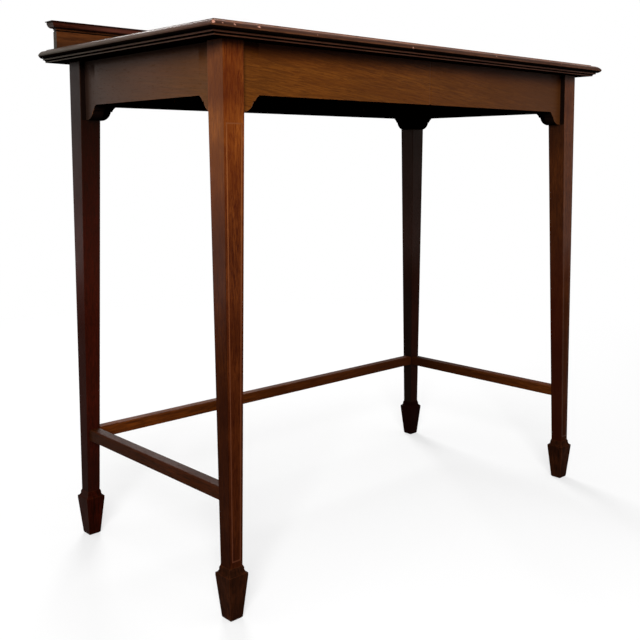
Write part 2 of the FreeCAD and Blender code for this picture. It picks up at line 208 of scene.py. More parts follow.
REDDENING = 0.3  # how much more green than red the painted shade takes away
RUBS = Marks(9, 26, detail=3)  # patches where the polish is rubbed through
CRUMBS = Marks(1.2, 1.6, detail=2)  # of a chip's broken wood
CLOUD_STRETCH = 1.6  # length of a cloud in its widths
# Levels of noise, mostly from 0.3 to 0.7, where marks set in and are complete
EVEN_SPAN: Span = (0.30, 0.70)
STREAK_SPAN: Span = (0.36, 0.64)
CLOUD_SPAN: Span = (0.35, 0.65)
PORE_SPAN: Span = (0.60, 0.70)
RUB_SPAN: Span = (0.38, 0.62)
CHIP_SPAN: Span = (0.45, 0.60)
CRUMBLING: Span = (-0.25, 0.25)  # what the crumbs take from a chip and add to it
# Shares of the normal where a face starts to look left, or right or back, and wholly does
LEFTWARD: Span = (-0.3, -0.8)
AWAY: Span = (0.2, 0.6)
FIGURE_SWING: Span = (-0.27, 0.27)  # how far the figure's cover swings round its share
PORE_DARKNESS = 0.45
LEAST_RUBBED = 0.35  # share of the wear that even the best kept patches show
GRIME_AND_SHADE_COVER = 0.95  # how much of the wood the black of dust and painted shade hides at its thickest
CLOUD_ROUGHNESS: Span = (-0.05, 0.07)  # what the clouds add to the roughness
ROUGHNESS_OF = (0.15, 0.3, 0.5)  # what pores, chips, and dust with painted shade add to it
STREAK_RELIEF = 0.25  # height of the streaks beside the depth of the pores
RELIEF_STRENGTH = 0.6
SHELLAC_IOR = 1.5


@dataclass(frozen=True)
class Point:
    """What a finish reads at a point of a piece, each as an output or a node of its tree."""

    tree: NodeTree
    place: Any  # position by axis, in metres
    facing: Any  # normal by axis
    marks: dict[str, Node]
    layers: dict[str, NodeSocket]  # how worn and painted light, how raw and painted dark, and how chipped it is


@dataclass(frozen=True)
class PolishedMahogany:
    """Cuban mahogany, planed and scraped, stained and French polished, then aged.

    Red-brown ground with darker growth streaks, short dark pores and a slow
    change of tone. The old shellac shines softly, rubs through on arrises and
    is dull and dark with dust and painted shade wherever a face looks down or
    was never polished. Tones and veils paint shade and sheen by height and
    side; faces that look right or back can take plain colours instead.
    """

    slot: str  # name of the finish, which its materials carry unless a variant names them
    dark: str
    ground: str
    light: str
    name: str = ""  # of a variant
    # colour of rubbed arrises, and of the lines that paint highlights
    wear_and_highlight: str = "a06440"
    bare: str = "b88470"
    raw_and_shaded: str = "0a0504"  # unpolished wood, black with age and dust, and painted shade
    roughness: float = 0.42
    gloss: float = 0.08
    sheen_tint: str = "e6b48c"
    grain_slope: float = 0.0  # degrees that the grain falls to the right or the back
    streak_width: float = 2.2  # drawn coarser than the real 0.5, to show
    streak_length: float = 70.0
    waviness: float = 0.3  # how far the streaks wander
    figure_width: float = 15.0
    figure_length: float = 210.0
    figure_share: float = 0.55  # how far the slow figure covers the streaks
    pore_width: float = 1.1  # drawn coarser than the real 0.2, to show
    pore_length: float = 11.0
    pore_depth: float = 0.12
    cloud_size: float = 150.0
    cloudiness: float = 0.3  # how far the dark clouds cover the rest
    # painted shade by height
    tones: Tones = ()
    dull_span: Span = (0.0, 0.0)  # from the first height to the second it goes dull
    # painted shade and painted sheen along one axis
    veils: tuple[Veil, ...] = ()
    far_side: tuple[str, str] | None = None  # plain dark and light of faces that look right or back, in place of the painted shade
    wear: float = 0.6
    rubbed_clean: float = 0.0  # how clean of dust and painted shade the rubbed arrises are
    downward: Span = (-0.35, -0.75)  # upward share of the normal where dust and painted shade set in

    def marks(self) -> dict[str, Marks]:
        """The kinds of mark that the wood and its polish show.

        Returns:
            The marks by name.
        """
        return {"figure": Marks(self.figure_width, self.figure_length, detail=2, roughness=0.5,
                                wander=0.6),
                "streak": Marks(self.streak_width, self.streak_length, detail=4, roughness=0.62,
                                wander=self.waviness),
                "pore": Marks(self.pore_width, self.pore_length, detail=1),
                "cloud": Marks(self.cloud_size, self.cloud_size * CLOUD_STRETCH, detail=2),
                "rub": RUBS, "crumb": CRUMBS}

    @cache
    def material(self, grain: Grain) -> Material:
        """The finish for pieces whose grain runs one way.

        Args:
            grain: Way that the grain runs.

        Returns:
            The material, made once for each way.
        """
        made = bpy.data.materials.new(f"{self.name or self.slot}_{grain.name.lower()}")
        made.use_nodes = True
        tree = made.node_tree
        tree.nodes.clear()
        position = put(tree, "TexCoord").outputs["Object"]
        normal = put(tree, "NewGeometry").outputs["Normal"]
        slope = grain.turn(self.grain_slope)
        turned = put(tree, "Mapping", {"Vector": position, "Rotation": slope})
        point = Point(
            tree, *(put(tree, "SeparateXYZ", (vector,)).outputs for vector in (position, normal)),
            {name: marks.draw(tree, grain, turned) for name, marks in self.marks().items()},
            {name: put(tree, "Attribute", attribute_name=name).outputs["Fac"]
             for name in ("wear_and_highlight", "unpolished_and_shaded", "chipped")})
        pores = put(tree, "MapRange", (point.marks["pore"], *PORE_SPAN))
        crumbs = put(tree, "MapRange", (point.marks["crumb"], *EVEN_SPAN, *CRUMBLING))
        chips = put(tree, "Math", (point.layers["chipped"], crumbs), operation="ADD")
        chips = put(tree, "MapRange", (chips, *CHIP_SPAN))
        # dust and painted shade: black on faces that look down and on faces marked raw
        dust_and_shade = self.dust_and_shade(point)
        grime_and_shade = put(tree, "Math", (dust_and_shade, GRIME_AND_SHADE_COVER), operation="MULTIPLY")
        colour = lay(tree, self.wood(point, pores), ((grime_and_shade, self.raw_and_shaded), (chips, self.bare)))
        if self.dull_span[0]:
            dull = put(tree, "MapRange", (point.place["Z"], *(end * MM for end in self.dull_span)))
            dust_and_shade = put(tree, "Math", (dust_and_shade, dull), operation="MAXIMUM")
        ends = (self.roughness + change for change in CLOUD_ROUGHNESS)
        rough = put(tree, "MapRange", (point.marks["cloud"], *EVEN_SPAN, *ends))
        for extent, share in zip((pores, chips, dust_and_shade), ROUGHNESS_OF):
            rough = put(tree, "Math", (extent, share, rough), operation="MULTIPLY_ADD")
        ridges = put(tree, "Math", (point.marks["streak"], STREAK_RELIEF), operation="MULTIPLY")
        relief = put(tree, "Math", (ridges, pores), operation="SUBTRACT")
        depth = self.pore_depth * MM
        bump = put(tree, "Bump", {"Strength": RELIEF_STRENGTH, "Distance": depth, "Height": relief})
        shader = put(tree, "BsdfPrincipled", {
            "Base Color": colour, "Roughness": rough, "Normal": bump, "IOR": SHELLAC_IOR,
            "Specular IOR Level": self.gloss, "Specular Tint": linear(self.sheen_tint)})
        put(tree, "OutputMaterial", {"Surface": shader})
        return made

    def dust_and_shade(self, point: Point) -> Node:
        """How dull and black the surface is, with dust and painted shade.

        Args:
            point: What the finish reads.

        Returns:
            The node of a share from 0 to 1.
        """
        tree = point.tree
        under = put(tree, "MapRange", (point.facing["Z"], *self.downward))
        dust_and_shade = put(tree, "Math", (under, point.layers["unpolished_and_shaded"]), operation="MAXIMUM")
        if self.rubbed_clean:
            left = put(tree, "MapRange", (point.layers["wear_and_highlight"], 0, 1, 1, 1 - self.rubbed_clean))
            dust_and_shade = put(tree, "Math", (dust_and_shade, left), operation="MULTIPLY")
        return dust_and_shade

    def wood(self, point: Point, pores: Node) -> Node:
        """Colour of the polished wood, before dust and chips.

        Args:
            point: What the finish reads.
            pores: Share that is an open pore.

        Returns:
            The node of the colour.
        """
        tree = point.tree
        streaks = put(tree, "MapRange", (point.marks["streak"], *STREAK_SPAN))
        ends = (self.figure_share + swing for swing in FIGURE_SWING)
        figure = put(tree, "MapRange", (point.marks["figure"], *EVEN_SPAN, *ends))
        clouds = put(tree, "MapRange", (point.marks["cloud"], *CLOUD_SPAN, 0.0, self.cloudiness))
        pits = put(tree, "Math", (pores, PORE_DARKNESS), operation="MULTIPLY")
        patches = put(tree, "MapRange", (point.marks["rub"], *RUB_SPAN, LEAST_RUBBED, 1.0))
        rubbed = put(tree, "Math", (point.layers["wear_and_highlight"], patches), operation="MULTIPLY")
        rubbed = put(tree, "Math", (rubbed, self.wear), operation="MULTIPLY")
        coats = [(streaks, self.light), (figure, self.ground), (clouds, self.dark),
                 (pits, self.dark), (rubbed, self.wear_and_highlight)]
        # veils: painted shade and painted sheen along one axis
        for veil in self.veils:
            ends = veil.start * MM, veil.end * MM
            share = put(tree, "MapRange", (point.place[veil.axis], *ends, 0.0, veil.share))
            if veil.left_only:
                left = put(tree, "MapRange", (point.facing["X"], *LEFTWARD))
                share = put(tree, "Math", (share, left), operation="MULTIPLY")
            coats.append((share, veil.colour))
        colour = lay(tree, linear(self.dark), coats)
        # painted shade by height
        if self.tones:
            colour = painted_shade_by_height(tree, self.tones, point.place["Z"], colour)
        # faces that look right or back take plain colours in place of the painted shade
        if self.far_side:
            away = put(tree, "Math", (point.facing["X"], point.facing["Y"]), operation="MAXIMUM")
            away = put(tree, "MapRange", (away, *AWAY))
            dark, light = self.far_side
            faint = put(tree, "MapRange", (point.marks["streak"], *EVEN_SPAN))
            plain = lay(tree, linear(dark), ((faint, light),))
            colour = put(tree, "Mix", {0: away, 6: colour, 7: plain}, data_type="RGBA")
        return colour


@dataclass(frozen=True)
class PlainFinish:
    """A finish of one ground colour, broken by fine mottling."""

    name: str
    ground: str
    second: str
    roughness: float
    metallic: float = 0.0
    gloss: float = 0.5
    mottle: float = 6.0  # size of a blot
    blot_detail: float = 4.0  # finer octaves in a blot
    unevenness: float = 0.08  # how far the roughness strays
    relief: float = 0.1  # depth of the blots
    relief_strength: float = 0.4
    # painted shade by height
    tones: Tones = ()

    @cache
    def material(self) -> Material:
        """The finish, made once.

        Returns:
            The material.
        """
        made = bpy.data.materials.new(self.name)
        made.use_nodes = True
        tree = made.node_tree
        tree.nodes.clear()
        place = put(tree, "TexCoord").outputs["Object"]
        scale = 1 / (self.mottle * MM)
        blot = put(tree, "TexNoise", {
            "Vector": place, "Scale": scale, "Detail": self.blot_detail})
        colour = lay(tree, linear(self.ground), ((blot, self.second),))
        if self.tones:
            height = put(tree, "SeparateXYZ", (place,)).outputs["Z"]
            colour = painted_shade_by_height(tree, self.tones, height, colour)
        ends = self.roughness - self.unevenness, self.roughness + self.unevenness
        rough = put(tree, "MapRange", (blot, *EVEN_SPAN, *ends))
        depth = self.relief * MM
        bump = put(tree, "Bump", {
            "Strength": self.relief_strength, "Distance": depth, "Height": blot})
        shader = put(tree, "BsdfPrincipled", {
            "Base Color": colour, "Roughness": rough, "Normal": bump,
            "Metallic": self.metallic, "Specular IOR Level": self.gloss})
        put(tree, "OutputMaterial", {"Surface": shader})
        return made


MERGED_WITHIN = 0.004  # mm: corners of a CAD solid's triangles that are one point
FLAT_WITHIN = 0.6  # degrees: triangles that are one flat face
ARRIS_FROM = 28.0  # degrees: edges that are eased
SMOOTH_WITHIN = 32.0  # degrees: faces that shade as one curve
LOOKS_DOWN = -0.5  # upward share of the normal of a face that looks down
LOOKS_IN = -0.1  # metres: normal times place, of a face that looks into the frame
LOOKS_FRONT = -0.1  # backward share of the normal of a face that looks to the front
WHOLLY_RAW_AND_SHADED = 0.99  # mark from which a face is plain raw wood, under dust and painted shade


def node_shape(node: str) -> BMesh:
    """Merged copy of a CAD solid, with its flat faces made whole again.

    Args:
        node: The CAD node.

    Returns:
        A new bmesh.
    """
    shape = bmesh.new()
    shape.from_mesh(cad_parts[node].data)
    bmesh.ops.remove_doubles(shape, verts=shape.verts, dist=MERGED_WITHIN * MM)
    bmesh.ops.dissolve_limit(shape, angle_limit=math.radians(FLAT_WITHIN), verts=shape.verts,
                             edges=shape.edges)
    return shape


def ease(shape: BMesh, radius: float, free: Callable[[Vector, Vector], bool] | None = None,
         segments: int = 3) -> None:
    """Round the arrises of a shape and mark them as rubbed.

    Args:
        shape: The shape to work on.
        radius: How far back from the arris the rounding starts, in millimetres.
        free: Says from an edge's two ends whether it is rounded.
        segments: Faces across the rounding.
    """
    wear_and_highlight = shape.faces.layers.float.get("wear_and_highlight") or shape.faces.layers.float.new("wear_and_highlight")
    edges = [edge for edge in shape.edges if len(edge.link_faces) == 2
             and edge.calc_face_angle_signed() > math.radians(ARRIS_FROM)
             and (free is None or free(edge.verts[0].co, edge.verts[1].co))]
    made = bmesh.ops.bevel(shape, geom=edges, offset=radius * MM, offset_type="OFFSET",
                           segments=segments, profile=0.5, affect="EDGES", material=-1,
                           clamp_overlap=True)
    for face in made["faces"]:
        face[wear_and_highlight] = 1.0


def cut(shape: BMesh, faces: Sequence[BMFace], place: Sequence[float],
        across: Sequence[float], merge: float = 0.01) -> None:
    """Cut faces of a shape in two where a plane crosses them.

    Args:
        shape: The shape to work on.
        faces: The faces to cut.
        place: A point of the plane, in metres.
        across: The plane's normal.
        merge: How near to the plane a corner is taken to lie on it, in millimetres.
    """
    parts = dict.fromkeys(part for face in faces for part in (face, *face.verts, *face.edges))
    bmesh.ops.bisect_plane(shape, geom=list(parts), plane_co=place, plane_no=across,
                           dist=merge * MM)


def leave_raw_and_shaded(shape: BMesh, share: float = 1.0, wholly_above: float = 0.0) -> None:
    """Mark the faces that look down or into the frame: raw wood that the polisher scarcely reached,
    under dust and painted shade.

    Args:
        shape: The shape to work on.
        share: How raw, dusty and shaded these faces are, up to 1.
        wholly_above: Height in millimetres above which they are wholly so, unless it is 0.
    """
    layer = shape.faces.layers.float.new("unpolished_and_shaded")
    for face in shape.faces:
        middle = face.calc_center_median()
        if face.normal.z < LOOKS_DOWN or face.normal.xy.dot(middle.xy) < LOOKS_IN:
            face[layer] = 1.0 if 0.0 < wholly_above * MM < middle.z else share


def mark(shape: BMesh, layer: str, share: float, low: float, high: float,
         front_only: bool = False) -> None:
    """Mark every face between two heights, such as a bead's or a hollow's.

    Args:
        shape: The shape to work on.
        layer: Name of the mark: the one for wear and painted highlight, or the one for raw wood,
            dust and painted shade.
        share: How strong the mark is, up to 1.
        low: Lower height in millimetres.
        high: Upper height in millimetres.
        front_only: Leaves out the faces that don't look to the front.
    """
    marks = shape.faces.layers.float.get(layer) or shape.faces.layers.float.new(layer)
    for face in shape.faces:
        if (low * MM < face.calc_center_median().z < high * MM
                and (face.normal.y < LOOKS_FRONT or not front_only)):
            face[marks] = share


def finish_piece(name: str, shape: BMesh, finish: PolishedMahogany, grain: Grain,
                 nodes: Sequence[str] = ()) -> None:
    """Make an object of a shape, in place of its CAD nodes.

    Args:
        name: Name of the new piece, or of the one CAD node that it is the eased form of.
        shape: Its shape, which is used up.
        finish: Its finish.
        grain: Way that its grain runs.
        nodes: CAD nodes that it stands for, unless its name is that of one.
    """
    if not nodes:
        name, nodes = f"{name}_eased", [name]
    # faces wholly marked take the raw wood, under its dust and painted shade
    raw_and_shaded = shape.faces.layers.float.get("unpolished_and_shaded")
    for face in shape.faces:
        face.smooth = True
        face.material_index = int(raw_and_shaded is not None and face[raw_and_shaded] > WHOLLY_RAW_AND_SHADED)
    for edge in shape.edges:
        edge.smooth = (len(edge.link_faces) == 2
                       and edge.calc_face_angle() < math.radians(SMOOTH_WITHIN))
    mesh = bpy.data.meshes.new(name)
    shape.to_mesh(mesh)
    shape.free()
    mesh.materials.append(finish.material(grain))
    if raw_and_shaded is not None:
        mesh.materials.append(RAW_AND_SHADED_WOOD.material())
    piece = bpy.data.objects.new(name, mesh)
    bpy.context.scene.collection.objects.link(piece)
    flats = piece.modifiers.new("flats", "WEIGHTED_NORMAL")
    flats.keep_sharp = True
    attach(piece, BODY)
    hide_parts(*nodes)
    log.info("%s: %d faces, stands for %s", name, len(mesh.polygons), ", ".join(nodes))


def dress(node: str, material: Material) -> None:
    """Give a CAD node its finish.

    Args:
        node: Name of the node.
        material: The finish.
    """
    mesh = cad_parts[node].data
    mesh.materials.clear()
    mesh.materials.append(material)
    log.info("%s: CAD solid in %s", node, material.name)


# Wild grain, French polished: short wavy streaks, with painted light under the top and painted
# shade below; faces that look left take a painted sheen above and painted shade below
LEG_FINISH = PolishedMahogany(
    "mahogany_leg", dark="4e1a06", ground="7c3a10", light="a45c22", figure_share=0.3,
    streak_width=2, streak_length=24, waviness=1.3, dull_span=(440, 340),
    wear_and_highlight="341204", cloud_size=42, cloudiness=0.6, gloss=0.1,
    far_side=("4a200c", "6c3816"),
    veils=(Veil("7a5436", "Z", 380, 480, 0.3, left_only=True),
           Veil("240a02", "Z", 560, 380, 0.5, left_only=True)),
    tones=((90, 0.17), (200, 0.22), (300, 0.26), (400, 0.35), (480, 0.38), (540, 0.58),
           (580, 0.85), (640, 1), (675, 0.72), (700, 0.85), (720, 0.85), (740, 0.40)))
# The front right leg: a copy with painted shade, redder and darker low on its left face and under
# the bracket
RIGHT_LEG_FINISH = replace(
    LEG_FINISH, name="mahogany_leg_right", dark="4c220c", ground="703c16", light="945622",
    veils=(Veil("74240a", "Z", 480, 280, 0.6, left_only=True),
           Veil("180e0c", "Z", 590, 650, 0.65, left_only=True)),
    tones=((90, 0.20), (200, 0.21), (300, 0.32), (400, 0.38), (480, 0.40), (540, 0.41),
           (620, 0.48), (660, 0.54), (720, 0.54), (742, 0.20)))
# The same wood, less rubbed and painted darker as shade: deep red, near black above and below, and
# darker low on its left face
BACK_LEG_FINISH = replace(
    LEG_FINISH, name="mahogany_leg_back", dark="1e0502", ground="300802", light="421006",
    wear=0.08, cloudiness=0.3, gloss=0.12,
    veils=(Veil("22100e", "Z", 420, 300, 0.8, left_only=True),),
    tones=((90, 0.40), (120, 0.45), (200, 0.90), (420, 0.90), (480, 0.75), (540, 0.50),
           (600, 0.35), (655, 0.15)))
# The back right leg: darker again, as painted shade
FAR_LEG_FINISH = replace(
    BACK_LEG_FINISH, name="mahogany_leg_far", dark="150501", ground="240904", light="300e06",
    veils=(Veil("040101", "Z", 420, 300, 0.9, left_only=True),),
    tones=((90, 0.60), (200, 0.85), (340, 0.85), (400, 0.55), (620, 0.45), (655, 0.10)))
# Finish of each leg, and how black with dust and painted shade the faces are that look into the
# frame
LEG_FINISHES = {"front_left": (LEG_FINISH, 0.4), "front_right": (RIGHT_LEG_FINISH, 0.4),
                "back_left": (BACK_LEG_FINISH, 0), "back_right": (FAR_LEG_FINISH, 0.3)}
# Straight grain, French polished: golden lines that sink to the right; painted shade makes it
# darker brown to the right and in a band under the top
APRON_FINISH = PolishedMahogany(
    "mahogany_apron", dark="4c280c", ground="60300b", light="8a501a", grain_slope=6,
    streak_width=1.7, streak_length=32, waviness=0.8, figure_share=0.42, wear=0.5,
    cloud_size=90, cloudiness=0.45, rubbed_clean=0.9,
    veils=(Veil("452612", "X", -200, 400, 0.88),),
    tones=((600, 1), (716, 1), (725, 0.78), (735, 0.42), (742, 0.28)))
# As the front apron, under a better kept polish that mirrors the pale room; painted shade darkens
# it towards the back and in a band under the top
SIDE_APRON_FINISH = replace(
    APRON_FINISH, name="mahogany_side_apron", dark="52300f", light="744418",
    grain_slope=-5, gloss=0.2, streak_length=60, dull_span=(733, 740),
    veils=(Veil("221814", "Y", -230, 180, left_only=True),),
    tones=((600, 1), (722, 1), (728, 0.85), (734, 0.62), (738, 0.2), (742, 0.05)))
# Slab-sawn and French polished, faded and scuffed by use: a greyish brown with a cool sheen; its
# left side takes a grey painted shade towards the back
TOP_FINISH = PolishedMahogany(
    "mahogany_top", dark="281410", ground="4a2a1c", light="623c28", roughness=0.45,
    sheen_tint="f0dcc8", cloud_size=60, wear=0.5,
    veils=(Veil("40382f", "Y", -260, 160, left_only=True),))
# Polished and seldom touched: warm brown, darker towards its foot; painted shade darkens its left
# end, and its pale rubbed colour also paints the bead's highlight
GALLERY_FINISH = PolishedMahogany(
    "mahogany_gallery", dark="361a0a", ground="4e2812", light="683a1a", gloss=0.12,
    streak_length=36, waviness=0.6, figure_share=0.35, cloud_size=60,
    wear_and_highlight="ac8c84", wear=1,
    veils=(Veil("2c170a", "Z", 786, 764, 0.8),
           Veil("2a2c26", "X", -300, -380, 0.8, left_only=True)))
# The moulded cap, reddened with stain: its round catches the light; a painted sheen lightens its
# left end, and painted shade darkens its upper edge and the faces that look left
CAP_FINISH = replace(
    GALLERY_FINISH, name="mahogany_cap", dark="2a1008", ground="5a2818", light="743c28",
    cloud_size=14, cloudiness=0.7, wear=0.2, downward=(-0.75, -0.95),
    veils=(Veil("80493a", "X", -380, -320, 0.6),
           Veil("20221c", "X", -300, -380, 0.7, left_only=True)),
    tones=((700, 1), (799.2, 1), (801.2, 0.25), (803.5, 0.15), (804, 1)))
# Slips whose polish brooms and mops have worn off: dark, matt and blotched; painted shade keeps the
# faces that look to the front and left darker than the rest
FOOT_FINISH = PolishedMahogany(
    "mahogany_foot", dark="140804", ground="2c1308", light="3e1e0e", wear_and_highlight="4a2412",
    far_side=("30140a", "4a2410"), figure_share=0.3, gloss=0.01, roughness=0.6,
    wear=0.4, cloud_size=14, cloudiness=0.6)
# The back feet: darker as painted shade, darkest to the right, with a grey painted sheen on the
# faces that look left
BACK_FOOT_FINISH = replace(
    FOOT_FINISH, name="mahogany_back_foot", dark="120401", ground="2a0904", light="380f06",
    wear_and_highlight="42200e",
    veils=(Veil("080201", "X", -300, 300, 0.8),
           Veil("2c1c18", "X", 300, -300, 0.7, left_only=True)))
# Polish rubbed dull by feet: plain brown, with paler arrises
STRETCHER_FINISH = PolishedMahogany(
    "mahogany_stretcher", dark="301405", ground="50240b", light="683612",
    streak_length=36, waviness=0.6, figure_share=0.35, gloss=0.03, roughness=0.6,
    wear_and_highlight="5a3018", wear=0.3, cloud_size=80)
# Each stretcher takes painted shade towards its far end; the left one is darker all over, with a
# redder sheen
STRETCHER_FINISHES = {
    "back": replace(
        STRETCHER_FINISH, name="mahogany_back_stretcher", light="7a3c10",
        veils=(Veil("2c1206", "X", -300, 360, 0.85),)),
    "right": replace(
        STRETCHER_FINISH, name="mahogany_right_stretcher",
        veils=(Veil("180601", "Y", -140, 150, 0.85),)),
    "left": replace(
        STRETCHER_FINISH, name="mahogany_left_stretcher", dark="1c0c03", ground="321406",
        light="461e08", wear_and_highlight="46261a", figure_share=0.3, sheen_tint="f0a880",
        veils=(Veil("1a0e06", "Y", -60, 190, 0.55, left_only=True),))}
# Strips, polished over with the leg: a thin warm line whose painted shade by height follows the
# leg's
SATINWOOD = PlainFinish(
    "satinwood_stringing", "93562c", "7a4420", 0.5, gloss=0.08,
    tones=((90, 0.30), (200, 0.34), (290, 0.40), (430, 0.62), (560, 0.95), (625, 0.95),
           (650, 0.65)))
# A darker copy for the right leg's strips, as painted shade
SHADED_SATINWOOD = replace(
    SATINWOOD, name="satinwood_stringing_shaded", ground="6c4226", second="5a341c")
# Scraped and never polished: flat and dry, near black with dust and with painted shade on
# undersides, hollows and faces that look into the frame
RAW_AND_SHADED_WOOD = PlainFinish("raw_mahogany_dust_and_shade", "160c08", "0d0705", 0.9, gloss=0)
# Sawn pine, browned by age: dry, with no shine
GLUE_BLOCK = PlainFinish("sawn_pine_glue_block", "8a5f38", "6b4526", 0.8, gloss=0.2)
# Cut steel, tarnished: dark grey metal with small brown blots
STEEL = PlainFinish("tarnished_steel_screw", "57504a", "3a322c", 0.5, metallic=1, mottle=2)


@dataclass
class TableTop:
    """The moulded top, with the chips that its front edge has taken."""

    arris: float = 0.35
    # Middle of each chip along the front edge and above the floor, its half length and depth
    chips: tuple[tuple[float, float, float, float], ...] = (
        (-425.0, 757.4, 4.2, 1.0), (-411.2, 756.3, 1.6, 0.6), (-393.0, 756.2, 2.2, 0.8),
        (-356.7, 756.6, 2.6, 0.9), (-351.5, 757.3, 1.4, 0.5), (-78.7, 753.0, 1.8, 0.6),
        (-262.0, 755.2, 1.2, 0.4), (118.0, 755.6, 1.5, 0.5), (301.0, 756.2, 1.3, 0.4))
    chip_spacing: float = 0.7  # between the cuts that give a chip its edge
    chip_merge: float = 0.02
    chip_reach: float = 2.6  # half lengths of a chip that are cut finely to each side
    chip_spread: Place = (0.75, 0.45, 1.0)  # what a gap along, into or up the edge counts
    raggedness: float = 0.35  # how far the chip's outline strays
    grit: float = 0.9  # how often it does so in a millimetre
    steepness: float = 1.8  # of the chip's sides
    shaded_cove: Span = (744.05, 745.8)  # hollow between the fillets, painted black as shade
    # Lines of painted highlight and painted shade along the front: name of the mark, how strong,
    # lower and upper height
    painted_front_lines: tuple[tuple[str, float, float, float], ...] = (
        ("wear_and_highlight", 1.0, 757.6, 762.1), ("unpolished_and_shaded", 0.4, 754.0, 756.4),
        ("wear_and_highlight", 0.5, 749.4, 753.4))
    moulding: float = 16.0  # how far in from the nose the moulding runs
    corner_reach: float = 12.0  # how far the left side is cut finely, from the front
    outward: float = -0.05  # share of the normal of a face that looks out of the table

    def build(self) -> None:
        """Make the top with eased mouldings, then chip its nose."""
        shape = node_shape("top")
        ease(shape, self.arris)
        leave_raw_and_shaded(shape)
        mark(shape, "unpolished_and_shaded", 1.0, *self.shaded_cove)
        for layer, share, low, high in self.painted_front_lines:
            mark(shape, layer, share, low, high, front_only=True)
        self.chip(shape)
        finish_piece("top_moulded", shape, TOP_FINISH, Grain.ACROSS_TABLE, ["top"])

    def edge_faces(self, shape: BMesh, axis: int, nose: float) -> list[BMFace]:
        """Faces of the moulding behind a nose on the left side, axis 0, or the front, axis 1."""
        return [face for face in shape.faces if face.normal[axis] < self.outward
                and face.calc_center_median()[axis] < nose + self.moulding * MM]

    def chip(self, shape: BMesh) -> None:
        """Cut the moulding finely round each chip and knock its middle in.

        Args:
            shape: The top, eased.
        """
        level = shape.verts.layers.float.new("chipped")
        left, front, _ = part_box("top")[0]
        for step in range(round(self.corner_reach / self.chip_spacing)):
            place = front + (step + 0.5) * self.chip_spacing * MM
            cut(shape, self.edge_faces(shape, 0, left), (0, place, 0), (0, 1, 0), self.chip_merge)
        for middle, height, half, depth in self.chips:
            steps = round(self.chip_reach * half / self.chip_spacing)
            for step in range(-steps, steps + 1):
                place = (middle + step * self.chip_spacing) * MM
                faces = self.edge_faces(shape, 1, front)
                cut(shape, faces, (place, 0, 0), (1, 0, 0), self.chip_merge)
            around = [face for face in self.edge_faces(shape, 1, front)
                      if abs(face.calc_center_median().x / MM - middle) < self.chip_reach * half]
            centre = Vector((middle, front / MM, height))
            for vert in dict.fromkeys(vert for face in around for vert in face.verts):
                gap = (vert.co / MM - centre) * Vector(self.chip_spread)
                ragged = self.raggedness * noise.noise(vert.co / MM * self.grit)
                share = max(0.0, 1.0 - gap.length / half + ragged)
                share = min(1.0, share * self.steepness)
                vert[level] = max(vert[level], share)
                vert.co -= vert.normal * (share * depth * MM)


@dataclass
class Gallery:
    """The low board along the back edge and its cap."""

    arris: float = 0.3
    # painted shade on the cap's upper edge
    cap_edge: Span = (801.6, 803.9)
    # painted highlight on the bead
    bead: Span = (792.1, 794.0)
    # painted shade in the quirk
    quirk: Span = (789.9, 792.1)

    def build(self) -> None:
        """Make the board and the cap."""
        board_lines = ("wear_and_highlight", 0.85, *self.bead), ("unpolished_and_shaded", 1.0, *self.quirk)
        cap_lines = ("unpolished_and_shaded", 0.8, *self.cap_edge),
        for node, finish, lines in (("gallery_board", GALLERY_FINISH, board_lines),
                                    ("gallery_cap", CAP_FINISH, cap_lines)):
            shape = node_shape(node)
            ease(shape, self.arris)
            for line in lines:
                mark(shape, *line)
            finish_piece(node, shape, finish, Grain.ACROSS_TABLE)


